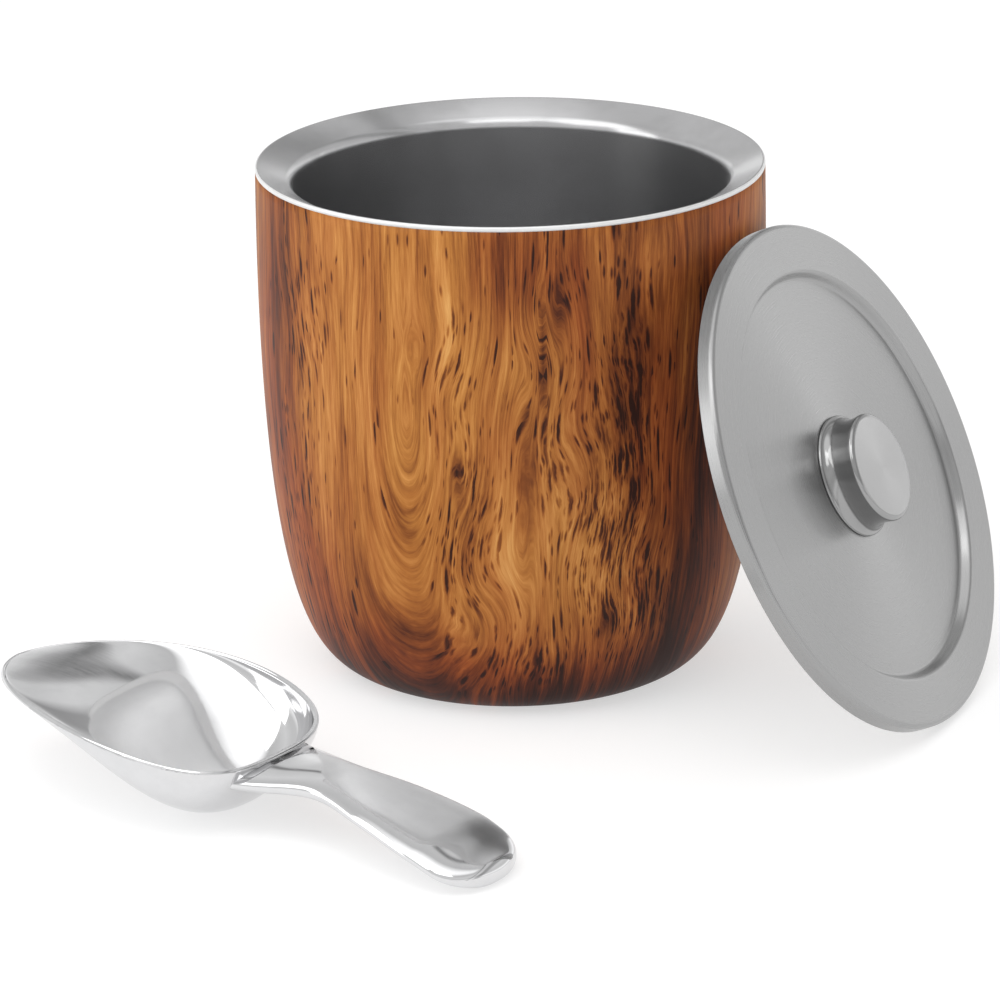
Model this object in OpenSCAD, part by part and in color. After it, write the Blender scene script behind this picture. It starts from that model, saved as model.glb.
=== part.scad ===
// Double-walled ice bucket with a lift-off lid and a serving scoop.
// Frame: origin at the centre of the underside of the foot pad, +Z up, millimetres.
// The lid leans against the right front of the bucket and the scoop lies at its left front.

/* [Bucket] */
// Outer radius of the bucket at its rim
rim_radius = 80; // [78:0.5:82]
// Height of the bucket
bucket_height = 163.2; // [155:0.2:170]
// Radius of the bucket where it meets the table
foot_radius = 55.4; // [54:0.2:58]
// Radius of the mouth, at the top of the liner wall
mouth_radius = 68.3; // [66:0.1:69.5]
// Depth of the liner's floor above the table
liner_floor_z = 10; // [9:0.1:12]
// Sheet thickness of the outer shell
shell_wall = 0.8; // [0.6:0.05:1]
// Sheet thickness of the liner
liner_wall = 0.7; // [0.5:0.05:0.9]
// Slope of the rim's inward face, in degrees below level
rim_slope = 25.3; // [20:0.1:30]
// Radius of the rolled edge between the rim's sloping face and the liner wall
mouth_fillet = 4; // [3:0.1:5]

/* [Lid] */
// Radius of the lid
lid_radius = 81; // [80:0.1:82]
// Height of the lid's rounded edge
lid_edge = 5.25; // [5:0.05:6]
// Outer radius of the slope down to the sunk centre
step_outer = 66.2; // [66:0.1:68]
// Inner radius of the slope down to the sunk centre
step_inner = 63; // [62:0.1:63.2]
// Depth of the sunk centre below the flat ring
step_depth = 3; // [2:0.1:3]
// Sheet thickness of the lid's cover
cover_wall = 0.8; // [0.6:0.05:1]
// Depth of the plug below the lid's edge
plug_depth = 4.6; // [3.5:0.1:5]
// Radius of the plug's wall
plug_radius = 65; // [64.6:0.1:65.5]
// Angle of the leaning lid from level
lean_angle = 65; // [62:0.1:68]
// Direction the lid leans towards, in degrees clockwise from +X
lean_turn = 26.9; // [20:0.1:40]
// Gap between the lid's top edge and the bucket's wall
lean_gap = 0.4; // [0.3:0.1:1]

/* [Knob] */
// Radius of the knob's foot
knob_foot_r = 19.4; // [18.5:0.1:20]
// Radius of the knob's waist
knob_waist_r = 16.5; // [15.5:0.1:17]
// Radius of the knob's top
knob_top_r = 17.2; // [16.8:0.1:18]
// Height of the knob
knob_height = 11.2; // [10.5:0.1:12.5]

/* [Scoop] */
// Sheet thickness of the scoop's bowl
scoop_wall = 1.6; // [1.2:0.1:2]
// Length of the inside of the bowl
bowl_length = 102; // [100:0.5:104]
// Half width of the inside of the bowl
bowl_half_width = 36.3; // [35:0.1:38]
// Depth of the inside of the bowl
bowl_depth = 23.6; // [23:0.1:23.7]
// Height of the rim where the handle joins
rim_back_z = 20.9; // [20.8:0.1:22]
// Height of the bowl's lip
rim_lip_z = 29.2; // [29:0.1:32]
// Extra height of the rim half way along
rim_arch = 4.6; // [4.5:0.1:5]
// Distance from the handle's tip to the inside of the bowl
bowl_start = 83; // [82:0.5:84]
// Thickness of the handle
handle_thick = 6.9; // [6:0.1:7]
// Length of the handle's rounded tip
tip_length = 12.5; // [11:0.5:16]
// Where the handle's tip lies on the table
scoop_at = [-5.4, -189.9]; // [-200:0.1:0]
// Direction from the handle's tip to the lip, in degrees from +X
scoop_turn = 142.8; // [140:0.1:150]

/* [Hidden] */
$fn = 96;

steel = "lightsteelblue";
curve_steps = 22;
arc_steps = 6;

// Bucket body
foot_lift = 0.5;
lip_height = 1.4;
shell_top_z = bucket_height - lip_height;
lip_round = 0.7;
inner_ring_r = 51;
inner_ring_round = 1.5;
base_plate_z = 3.4;
base_plate_r = 56;
base_plate_wall = 0.8;
bottom_cover_r = inner_ring_r - 0.3;
bottom_cover_z = 1.3;
bottom_cover_wall = 0.8;
foot_pad_r = 49.6;
foot_pad_edge = 0.4;
foil_gap = 0.06;
foil_wall = 0.2;

// Vacuum parts on the base plate
getter_r = 6;
getter_wall = 2.2;
clip_wall = 0.4;
clip_flange_r = 9;
clip_gap = 0.1;
seal_at = 24;
seal_r = 2.5;
seal_height = 2;

// Lid
edge_round = 1.6;
step_pull = 1.6;
seal_outer_r = 67.6;
base_ring_z = 0.6;
base_wall = 0.8;
screw_r = 2;
screw_clearance = 0.1;
screw_head_r = 4;
screw_head_height = 2;
washer_r = 7.5;
washer_wall = 0.8;
foam_r = plug_radius - base_wall - 0.8;
foam_pocket_r = 9;
thread_depth = 8;
knob_round = 1.5;

// Scoop
bowl_back_power = 0.33;
bowl_lip_power = 0.58;
depth_back_power = 0.95;
depth_lip_power = 3.57;
bowl_around = 56;
bowl_rings = 12;
floor_at = 0.2;
handle_stations = 34;
handle_around = 22;
handle_squareness = 2.4;
station_gap = 20;
tip_round = 3;
// Half width and centre height of the handle at every station_gap from its tip
handle_keys = [[17, 3.6], [18, 9.4], [15.2, 14.1], [11.7, 17], [17, 16], [22, 15]];
root_at = 84.1;
root_slant = 0.513;
root_cup = 0.0061;

// ---- Curves -------------------------------------------------------------

function mix(a, b, t) = a + (b - a) * t;
function reversed(list) = [for (i = [len(list) - 1 : -1 : 0]) list[i]];

// Cubic curve through a and d, pulled towards b and c
function curve(a, b, c, d, steps) = [
    for (i = [0 : steps])
        let (t = i / steps, s = 1 - t)
        s*s*s*a + 3*s*s*t*b + 3*s*t*t*c + t*t*t*d
];

function arc(centre, r, from, to, steps = arc_steps) = [
    for (i = [0 : steps])
        let (a = mix(from, to, i / steps))
        centre + r * [cos(a), sin(a)]
];

// Unit vector square to a path at point i, to the left of its direction
function square_to(path, i) =
    let (
        a = path[max(i - 1, 0)],
        b = path[min(i + 1, len(path) - 1)],
        d = (b - a) / norm(b - a)
    )
    [-d[1], d[0]];

function beside(path, gap) = [for (i = [0 : len(path) - 1]) path[i] + gap * square_to(path, i)];

// Closed outline of a sheet that lies between two distances from a path
function sheet(path, near, far) = concat(beside(path, near), reversed(beside(path, far)));

module turned(outline) {
    rotate_extrude() polygon(outline);
}

// ---- Bucket -------------------------------------------------------------

function shell_path() = concat(
    curve(
        [rim_radius, shell_top_z],
        [rim_radius + 2.7, 22.7],
        [foot_radius + 11.2, 3.9],
        [foot_radius, foot_lift],
        curve_steps * 2
    ),
    arc([inner_ring_r + inner_ring_round, foot_lift + inner_ring_round], inner_ring_round, 270, 180),
    [[inner_ring_r, base_plate_z]]
);

// Rounded top edge, then the face that slopes down to the mouth, then the rolled edge
fillet_x = mouth_radius + mouth_fillet;
slope_end_x = fillet_x - mouth_fillet * sin(rim_slope);
slope_start_x = rim_radius - lip_round;
slope_end_z = bucket_height - (slope_start_x - slope_end_x) * tan(rim_slope);
fillet_z = slope_end_z - mouth_fillet * cos(rim_slope);

function rim_path() = concat(
    [[rim_radius, shell_top_z]],
    arc([slope_start_x, bucket_height - lip_round], lip_round, 0, 90 + rim_slope),
    arc([fillet_x, fillet_z], mouth_fillet, 90 + rim_slope, 180)
);

function wall_path() = curve(
    [mouth_radius, fillet_z],
    [mouth_radius + 3.2, 38],
    [mouth_radius - 5.3, liner_floor_z],
    [mouth_radius - 23.3, liner_floor_z],
    curve_steps
);

function tail(list) = [for (i = [1 : len(list) - 1]) list[i]];

module outer_shell() {
    path = shell_path();
    color("peru") turned(sheet(path, 0, -shell_wall));
}

module inner_liner() {
    path = concat(rim_path(), tail(wall_path()), [[0, liner_floor_z]]);
    color(steel) turned(sheet(path, 0, liner_wall));
}

module copper_foil() {
    near = liner_wall + foil_gap;
    color("chocolate") turned(sheet(wall_path(), near, near + foil_wall));
}

module base_plate() {
    color(steel)
    translate([0, 0, base_plate_z])
    difference() {
        cylinder(r = base_plate_r, h = base_plate_wall);
        translate([seal_at, 0, -1]) cylinder(r = seal_r, h = base_plate_wall + 2);
    }
}

module getter() {
    color("dimgray")
    translate([0, 0, base_plate_z + base_plate_wall])
    cylinder(r = getter_r, h = getter_wall);
}

module getter_clip() {
    inner = getter_r + clip_gap;
    outer = inner + clip_wall;
    foot = base_plate_z + base_plate_wall;
    top = foot + getter_wall + clip_gap;
    color("gainsboro")
    turned([
        [inner, foot], [clip_flange_r, foot], [clip_flange_r, foot + clip_wall],
        [outer, foot + clip_wall], [outer, top + clip_wall], [inner - 1, top + clip_wall],
        [inner - 1, top], [inner, top]
    ]);
}

module vacuum_seal() {
    color("darkslategray")
    translate([seal_at, 0, base_plate_z - 0.6])
    cylinder(r = seal_r, h = seal_height);
}

module bottom_cover() {
    color(steel)
    turned([
        [0, bottom_cover_z], [bottom_cover_r, bottom_cover_z],
        [bottom_cover_r, base_plate_z - 0.2],
        [bottom_cover_r - bottom_cover_wall, base_plate_z - 0.2],
        [bottom_cover_r - bottom_cover_wall, bottom_cover_z + bottom_cover_wall],
        [0, bottom_cover_z + bottom_cover_wall]
    ]);
}

module foot_pad() {
    color("darkgray")
    turned([
        [0, 0], [foot_pad_r - foot_pad_edge, 0], [foot_pad_r, foot_pad_edge],
        [foot_pad_r, bottom_cover_z], [0, bottom_cover_z]
    ]);
}

// ---- Lid, in its own frame: z = 0 at the lower edge, +z out of its top ----

// The leaning lid's lowest point rests on the table and its top edge nears the wall
lid_centre_z = lid_radius * sin(lean_angle);
lid_centre_out = rim_radius + 0.1 + lean_gap + lid_centre_z / tan(lean_angle);

module leaning() {
    rotate([0, 0, -lean_turn])
    translate([lid_centre_out, 0, lid_centre_z])
    rotate([0, lean_angle, 0])
    children();
}

sunk_z = lid_edge - step_depth;

// The cover's top surface, from the middle out to its lower edge
function cover_path() = concat(
    [[screw_r + screw_clearance, sunk_z]],
    curve(
        [step_inner, sunk_z],
        [step_inner + step_pull, sunk_z],
        [step_outer - step_pull, lid_edge],
        [step_outer, lid_edge],
        10
    ),
    arc([lid_radius - edge_round, lid_edge - edge_round], edge_round, 90, 0),
    [[lid_radius, 0]]
);

module lid_cover() {
    color(steel) leaning() turned(sheet(cover_path(), 0, -cover_wall));
}

module lid_base() {
    rim_r = lid_radius - cover_wall - 0.15;
    color("silver")
    leaning()
    turned([
        [0, -plug_depth], [plug_radius - 1, -plug_depth], [plug_radius, 1 - plug_depth],
        [plug_radius, base_ring_z], [rim_r, base_ring_z], [rim_r, base_ring_z + base_wall],
        [plug_radius - base_wall, base_ring_z + base_wall],
        [plug_radius - base_wall, base_wall - plug_depth], [0, base_wall - plug_depth]
    ]);
}

module lid_foam() {
    low = base_wall - plug_depth + 0.2;
    high = sunk_z - cover_wall - 0.3;
    color("ivory")
    leaning()
    turned([[foam_pocket_r, low], [foam_r, low], [foam_r, high], [foam_pocket_r, high]]);
}

// Ring with two soft lips round the plug
module lid_seal() {
    fit = plug_radius + 0.1;
    body_r = plug_radius + 1.4;
    top = base_ring_z - 0.1;
    color("lightgray")
    leaning()
    turned([
        [fit, 1.3 - plug_depth], [body_r, 1.5 - plug_depth], [seal_outer_r, 2.2 - plug_depth],
        [seal_outer_r, 2.6 - plug_depth], [body_r, 2.6 - plug_depth], [body_r, -0.9],
        [seal_outer_r, -0.5], [seal_outer_r, -0.1], [body_r, top], [fit, top]
    ]);
}

module knob() {
    hole_r = screw_r + screw_clearance / 2;
    side = curve(
        [knob_foot_r, 0.8], [knob_waist_r + 0.4, 1.6],
        [knob_waist_r - 0.2, 5], [knob_top_r, knob_height - knob_round], 12
    );
    cap = arc([knob_top_r - knob_round, knob_height - knob_round], knob_round, 0, 90);
    outline = concat(
        [[hole_r, 0], [knob_foot_r, 0]], side, tail(cap),
        [[0, knob_height], [0, thread_depth], [hole_r, thread_depth]]
    );
    color("gainsboro") leaning() translate([0, 0, sunk_z]) turned(outline);
}

module knob_washer() {
    color("dimgray")
    leaning()
    translate([0, 0, sunk_z - cover_wall - washer_wall])
    difference() {
        cylinder(r = washer_r, h = washer_wall);
        translate([0, 0, -1]) cylinder(r = screw_r + screw_clearance, h = washer_wall + 2);
    }
}

module knob_screw() {
    head_top = sunk_z - cover_wall - washer_wall;
    socket_r = 1.6;
    color("dimgray")
    leaning()
    translate([0, 0, head_top - screw_head_height])
    difference() {
        union() {
            cylinder(r = screw_head_r, h = screw_head_height);
            cylinder(r = screw_r, h = sunk_z - head_top + screw_head_height + thread_depth - 1);
        }
        translate([0, 0, -1]) cylinder(r = socket_r, h = 2, $fn = 6);
    }
}

// ---- Scoop, in its own frame: x from the handle's tip to the lip ----------

module lying() {
    translate([scoop_at[0], scoop_at[1], 0])
    rotate([0, 0, scoop_turn])
    children();
}

// Rises from 0 at s = 0 to 1, and falls to 0 at s = 1, at the two given powers
function hump(s, p, q) =
    let (m = p / (p + q))
    pow(max(s, 0) / m, p) * pow(max(1 - s, 0) / (1 - m), q);

function bowl_half(s) = bowl_half_width * hump(s, bowl_back_power, bowl_lip_power);
function bowl_deep(s) = bowl_depth * hump(s, depth_back_power, depth_lip_power);
function bowl_rim_z(s) = mix(rim_back_z, rim_lip_z, s) + 4 * rim_arch * s * (1 - s);

// A point of the bowl's inside as [s, y]: turn goes round the rim, and out runs from the
// floor's middle to the rim
function bowl_plan(turn, out) =
    let (s_rim = (1 - cos(turn)) / 2, side = turn < 180 ? 1 : -1)
    [mix(floor_at, s_rim, out), bowl_half(s_rim) * side * out];

// How far across the bowl a point is, from 0 on its centre line to 1 at the rim
function across(s, y, out) = out > 0.9999 ? 1 : min(abs(y) / bowl_half(s), 1);

function bowl_point(turn, out) =
    let (
        at = bowl_plan(turn, out),
        k = across(at[0], at[1], out),
        z = bowl_rim_z(at[0]) - bowl_deep(at[0]) * sqrt(1 - k * k)
    )
    [bowl_start + bowl_length * at[0], at[1], z];

// Relative rate of change of a hump
function hump_rate(s, p, q) = p / s - q / (1 - s);

// Unit vector out of the metal's underside: the slope of the bowl's inside, square to it
function bowl_down(turn, out) =
    let (
        at = bowl_plan(turn, out),
        s = at[0],
        side = at[1] < 0 ? -1 : 1,
        k = across(s, at[1], out),
        q = sqrt(1 - k * k),
        half_rate = hump_rate(s, bowl_back_power, bowl_lip_power),
        deep_rate = hump_rate(s, depth_back_power, depth_lip_power),
        rim_rate = rim_lip_z - rim_back_z + 4 * rim_arch * (1 - 2 * s),
        nx = rim_rate * q - bowl_deep(s) * (deep_rate * q * q + half_rate * k * k),
        n = k == 1
            ? [-half_rate * bowl_half(s) / bowl_length, side, 0]
            : [nx / bowl_length, side * bowl_deep(s) * k / bowl_half(s), -q]
    )
    n / norm(n);

function bowl_inside() = [
    for (j = [1 : bowl_rings])
        let (out = sin(90 * j / bowl_rings))
        for (i = [0 : bowl_around - 1]) bowl_point(360 * (i + 0.5) / bowl_around, out)
];

function bowl_outside() = [
    for (j = [1 : bowl_rings])
        let (out = sin(90 * j / bowl_rings))
        for (i = [0 : bowl_around - 1])
            let (turn = 360 * (i + 0.5) / bowl_around)
            bowl_point(turn, out) + scoop_wall * bowl_down(turn, out)
];

// Triangles between two closed rings of points that start at a and b
function band(a, b, count) = [
    for (i = [0 : count - 1])
        let (k = (i + 1) % count)
        each [[a + i, a + k, b + k], [a + i, b + k, b + i]]
];

function fan(centre, ring, count, flip) = [
    for (i = [0 : count - 1])
        let (k = (i + 1) % count)
        flip ? [centre, ring + k, ring + i] : [centre, ring + i, ring + k]
];

module scoop_bowl() {
    inside = bowl_inside();
    outside = bowl_outside();
    total = bowl_around * bowl_rings;
    low_in = bowl_point(0, 0);
    points = concat(inside, outside, [low_in, low_in - [0, 0, scoop_wall]]);
    in_rim = total - bowl_around;
    faces = concat(
        [for (j = [0 : bowl_rings - 2])
            each band((j + 1) * bowl_around, j * bowl_around, bowl_around)],
        [for (j = [0 : bowl_rings - 2])
            each band(total + j * bowl_around, total + (j + 1) * bowl_around, bowl_around)],
        band(total + in_rim, in_rim, bowl_around),
        fan(2 * total, 0, bowl_around, false),
        fan(2 * total + 1, total, bowl_around, true)
    );
    color("whitesmoke") lying() polyhedron(points, faces);
}

// Smooth value through the handle's keys, by column
function key(i, column) = handle_keys[min(max(i < 0 ? -i : i, 0), len(handle_keys) - 1)][column];
function along_keys(x, column) =
    let (
        f = x / station_gap, i = floor(f), t = f - i,
        a = key(i - 1, column), b = key(i, column), c = key(i + 1, column), d = key(i + 2, column)
    )
    0.5 * (2*b + (c - a)*t + (2*a - 5*b + 4*c - d)*t*t + (3*b - a - 3*c + d)*t*t*t);

function rounded_end(x, reach) = x >= reach ? 1 : sqrt(1 - pow(1 - x / reach, 2));
function powered(v, p) = sign(v) * pow(abs(v), p);

// Ring of the handle at x: a flattened oval, whose last rings lean to meet the bowl's back
function handle_ring(x) =
    let (
        half = along_keys(max(x, 0), 0) * rounded_end(x, tip_length),
        tall = handle_thick / 2 * rounded_end(x, tip_round),
        mid = along_keys(max(x, 0), 1),
        lean = pow(x / root_at, 6)
    )
    [for (i = [0 : handle_around - 1])
        let (
            a = 360 * i / handle_around,
            y = half * powered(cos(a), 2 / handle_squareness),
            z = tall * powered(sin(a), 2 / handle_squareness)
        )
        [x + lean * (root_cup * y * y - root_slant * z), y, mid + z]
    ];

module scoop_handle() {
    last = handle_stations - 1;
    // Rings crowd towards the rounded tip
    places = [for (i = [1 : handle_stations]) root_at * pow(i / handle_stations, 1.6)];
    points = concat(
        [for (x = places) each handle_ring(x)],
        [[0, 0, along_keys(0, 1)], [root_at, 0, along_keys(root_at, 1)]]
    );
    faces = concat(
        [for (j = [0 : last - 1]) each band((j + 1) * handle_around, j * handle_around, handle_around)],
        fan(handle_stations * handle_around, 0, handle_around, false),
        fan(handle_stations * handle_around + 1, last * handle_around, handle_around, true)
    );
    color("whitesmoke") lying() polyhedron(points, faces);
}

outer_shell();
inner_liner();
copper_foil();
base_plate();
getter();
getter_clip();
vacuum_seal();
bottom_cover();
foot_pad();
lid_cover();
lid_foam();
lid_base();
lid_seal();
knob();
knob_washer();
knob_screw();
scoop_bowl();
scoop_handle();
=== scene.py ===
"""Looks for a wood-print ice bucket with a brushed lid and a polished scoop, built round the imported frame.

Everything is in metres in the row frame: +Z up, the bucket stands on z = 0 round the Z axis, and its
front faces -Y. The turned pieces repeat the CAD profiles at a finer step.
"""

import math

import bpy
import numpy as np
from mathutils import Matrix, Vector


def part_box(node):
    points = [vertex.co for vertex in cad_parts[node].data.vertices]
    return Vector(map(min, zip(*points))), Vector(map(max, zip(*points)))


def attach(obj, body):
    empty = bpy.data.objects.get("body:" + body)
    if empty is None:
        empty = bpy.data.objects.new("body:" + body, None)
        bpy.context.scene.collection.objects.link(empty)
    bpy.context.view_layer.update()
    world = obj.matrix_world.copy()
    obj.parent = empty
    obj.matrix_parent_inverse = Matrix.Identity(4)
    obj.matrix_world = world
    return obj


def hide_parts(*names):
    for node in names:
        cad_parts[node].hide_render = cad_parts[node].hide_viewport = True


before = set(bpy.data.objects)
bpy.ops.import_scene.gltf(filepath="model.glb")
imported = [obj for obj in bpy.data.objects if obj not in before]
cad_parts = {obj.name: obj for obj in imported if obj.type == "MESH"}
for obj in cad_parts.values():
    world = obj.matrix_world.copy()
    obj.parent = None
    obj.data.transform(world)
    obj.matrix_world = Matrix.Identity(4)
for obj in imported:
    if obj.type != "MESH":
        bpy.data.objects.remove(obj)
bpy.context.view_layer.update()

MM = 0.001

# ---- Driving sizes, from the frame --------------------------------------------------------------

SHELL_LOW, SHELL_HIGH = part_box("outer_shell")
LINER_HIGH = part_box("inner_liner")[1]
FOOT_PAD_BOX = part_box("foot_pad")

HEIGHT = LINER_HIGH.z
RIM_R = round(LINER_HIGH.x, 4)
SHELL_TOP = SHELL_HIGH.z
FOOT_LIFT = SHELL_LOW.z
FOOT_PAD_R = FOOT_PAD_BOX[1].x
FOOT_PAD_TOP = FOOT_PAD_BOX[1].z


# ---- Profiles -----------------------------------------------------------------------------------


def curve(a, b, c, d, steps):
    """Cubic curve through a and d, pulled towards b and c."""
    a, b, c, d = (np.array(p, float) for p in (a, b, c, d))
    t = np.linspace(0, 1, steps + 1)[:, None]
    s = 1 - t
    return list(s**3 * a + 3 * s * s * t * b + 3 * s * t * t * c + t**3 * d)


def arc(centre, radius, start, end, steps=6):
    """Points on a circle between two angles in degrees."""
    angles = np.radians(np.linspace(start, end, steps + 1))
    return [np.array(centre, float) + radius * np.array([math.cos(a), math.sin(a)]) for a in angles]


def without_repeats(path, least=1e-7):
    kept = [np.array(path[0], float)]
    for p in path[1:]:
        if np.linalg.norm(np.array(p) - kept[-1]) > least:
            kept.append(np.array(p, float))
    return kept


def held(path, hold=0.15 * MM, long=1.2 * MM, closed=True):
    """The path with a point just inside each end of its long straight runs, which keeps shading crisp."""
    out = []
    count = len(path)
    for i, a in enumerate(path):
        out.append(np.array(a, float))
        if i == count - 1 and not closed:
            break
        b = np.array(path[(i + 1) % count], float)
        gap = np.linalg.norm(b - a)
        if gap > long:
            step = (b - a) / gap * hold
            out += [a + step, b - step]
    return out


def beside(path, gap):
    """The path moved sideways, to the left of its direction."""
    p = np.array(path)
    d = np.vstack([p[1] - p[0], p[2:] - p[:-2], p[-1] - p[-2]])
    d /= np.linalg.norm(d, axis=1)[:, None]
    return list(p + gap * np.stack([-d[:, 1], d[:, 0]], 1))


def sheet(path, near, far):
    """Closed outline of a sheet between two distances from a path."""
    return beside(path, near) + beside(path, far)[::-1]


# ---- Meshes -------------------------------------------------------------------------------------


def make_piece(name, body, points, faces, material, node, local):
    """A smooth mesh piece that stands for a CAD node. local is its points in its own frame."""
    mesh = bpy.data.meshes.new(name)
    mesh.from_pydata([tuple(p) for p in points], [], faces)
    mesh.validate()
    mesh.update()
    mesh.polygons.foreach_set("use_smooth", [True] * len(mesh.polygons))
    layer = mesh.attributes.new("local", "FLOAT_VECTOR", "POINT")
    layer.data.foreach_set("vector", np.array(local, np.float32).ravel())
    piece = bpy.data.objects.new(name, mesh)
    bpy.context.scene.collection.objects.link(piece)
    mesh.materials.append(material)
    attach(piece, body)
    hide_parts(node)
    return piece


def lathe(outline, around):
    """Points and faces of a closed outline of (radius, height), turned about Z.

    An outline that touches the axis at both ends is left open there and closed by fans.
    """
    on_axis = [i for i, p in enumerate(outline) if p[0] < 1e-7]
    ring_points = [p for p in outline if p[0] >= 1e-7]
    count = len(ring_points)
    angles = np.linspace(0, 2 * math.pi, around, endpoint=False)
    points = [
        (p[0] * math.cos(a), p[0] * math.sin(a), p[1]) for p in ring_points for a in angles
    ]
    faces = []
    links = count if not on_axis else count - 1
    for j in range(links):
        k = (j + 1) % count
        for i in range(around):
            n = (i + 1) % around
            faces.append((j * around + i, j * around + n, k * around + n, k * around + i))
    if on_axis:
        for ring, pole in ((0, outline[0]), (count - 1, outline[-1])):
            centre = len(points)
            points.append((0.0, 0.0, pole[1]))
            for i in range(around):
                n = (i + 1) % around
                pair = (ring * around + i, ring * around + n)
                faces.append((centre, pair[1], pair[0]) if ring == 0 else (centre, *pair))
    return points, faces


def turned(name, body, outline, material, node, around, place=Matrix.Identity(4)):
    """A turned piece in place of a CAD node, moved by the matrix place."""
    points, faces = lathe(without_repeats(outline), around)
    placed = [place @ Vector(p) for p in points]
    piece = make_piece(name, body, placed, faces, material, node, points)
    turn_outwards(piece)
    return piece


def turn_outwards(piece):
    """Turns the piece's faces so that its enclosed volume is positive."""
    mesh = piece.data
    volume = 0.0
    for face in mesh.polygons:
        corners = [mesh.vertices[i].co for i in face.vertices]
        for second, third in zip(corners[1:], corners[2:]):
            volume += corners[0].dot(second.cross(third))
    if volume < 0:
        mesh.flip_normals()


# ---- Materials ----------------------------------------------------------------------------------


def linear(code):
    """Linear colour of a six-digit sRGB code."""
    values = [int(code[i : i + 2], 16) / 255 for i in (0, 2, 4)]
    return (*[v / 12.92 if v <= 0.04045 else ((v + 0.055) / 1.055) ** 2.4 for v in values], 1.0)


def fill_ramp(node, stops):
    """Gives a colour ramp its (place, colour) stops."""
    elements = node.color_ramp.elements
    while len(elements) < len(stops):
        elements.new(0.5)
    for element, (place, colour) in zip(elements, stops):
        element.position = place
        element.color = colour


def grey(level):
    return (level, level, level, 1)


class Graph:
    """A material's node tree, with a short call for each kind of node."""

    def __init__(self, name):
        self.material = bpy.data.materials.new(name)
        self.material.use_nodes = True
        self.tree = self.material.node_tree
        self.tree.nodes.clear()
        self.shader = self.tree.nodes.new("ShaderNodeBsdfPrincipled")
        self.output = self.tree.nodes.new("ShaderNodeOutputMaterial")
        self.tree.links.new(self.shader.outputs[0], self.output.inputs[0])

    def plug(self, socket, value):
        if isinstance(value, bpy.types.NodeSocket):
            self.tree.links.new(value, socket)
        elif value is not None:
            socket.default_value = value

    def set(self, **values):
        """Sets or links the shader's own sockets: set(Base_Color=colour, Roughness=0.4)."""
        for name, value in values.items():
            self.plug(self.shader.inputs[name.replace("_", " ")], value)

    def math(self, kind, a, b=None, c=None, clamp=False):
        node = self.tree.nodes.new("ShaderNodeMath")
        node.operation = kind
        node.use_clamp = clamp
        for socket, value in zip(node.inputs, (a, b, c)):
            self.plug(socket, value)
        return node.outputs[0]

    def here(self):
        """The point in the row frame, which moves with the piece."""
        return self.tree.nodes.new("ShaderNodeTexCoord").outputs["Object"]

    def attribute(self, name, output="Vector"):
        node = self.tree.nodes.new("ShaderNodeAttribute")
        node.attribute_name = name
        return node.outputs[output]

    def split(self, vector):
        node = self.tree.nodes.new("ShaderNodeSeparateXYZ")
        self.plug(node.inputs[0], vector)
        return node.outputs

    def join(self, x, y, z):
        node = self.tree.nodes.new("ShaderNodeCombineXYZ")
        for socket, value in zip(node.inputs, (x, y, z)):
            self.plug(socket, value)
        return node.outputs[0]

    def noise(self, vector, scale, detail=2.0, roughness=0.5):
        node = self.tree.nodes.new("ShaderNodeTexNoise")
        self.plug(node.inputs["Vector"], vector)
        self.plug(node.inputs["Scale"], scale)
        self.plug(node.inputs["Detail"], detail)
        self.plug(node.inputs["Roughness"], roughness)
        return node.outputs["Fac"]

    def cells(self, vector):
        """Distance to the nearest of scattered points, and a random value for each point's cell."""
        node = self.tree.nodes.new("ShaderNodeTexVoronoi")
        self.plug(node.inputs["Vector"], vector)
        self.plug(node.inputs["Scale"], 1.0)
        return node.outputs["Distance"], self.split(node.outputs["Color"])[0]

    def fit(self, value, low, high, to_low=0.0, to_high=1.0, smooth=True):
        """value from low..high to to_low..to_high, clamped."""
        node = self.tree.nodes.new("ShaderNodeMapRange")
        node.interpolation_type = "SMOOTHSTEP" if smooth else "LINEAR"
        for socket, item in zip(node.inputs, (value, low, high, to_low, to_high)):
            self.plug(socket, item)
        return node.outputs[0]

    def ramp(self, value, stops):
        node = self.tree.nodes.new("ShaderNodeValToRGB")
        fill_ramp(node, stops)
        self.plug(node.inputs[0], value)
        return node.outputs[0]

    def mix(self, amount, a, b, kind="MIX"):
        node = self.tree.nodes.new("ShaderNodeMix")
        node.data_type = "RGBA"
        node.blend_type = kind
        self.plug(node.inputs["Factor"], amount)
        self.plug(node.inputs[6], a)
        self.plug(node.inputs[7], b)
        return node.outputs[2]

    def bump(self, height, distance, strength=1.0):
        node = self.tree.nodes.new("ShaderNodeBump")
        self.plug(node.inputs["Height"], height)
        self.plug(node.inputs["Distance"], distance)
        self.plug(node.inputs["Strength"], strength)
        self.tree.links.new(node.outputs[0], self.shader.inputs["Normal"])
        return node


# The wood's colours from dark to light, in its golden and its reddish parts
SHADE_STEPS = (0.0, 0.17, 0.36, 0.55, 0.75, 1.0)
GOLDEN = ("31180D", "572C15", "885023", "AF7234", "C88B48", "E0AC66")
REDDISH = ("2B130D", "4B2112", "753718", "954D23", "B06A36", "CC8D50")


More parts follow.
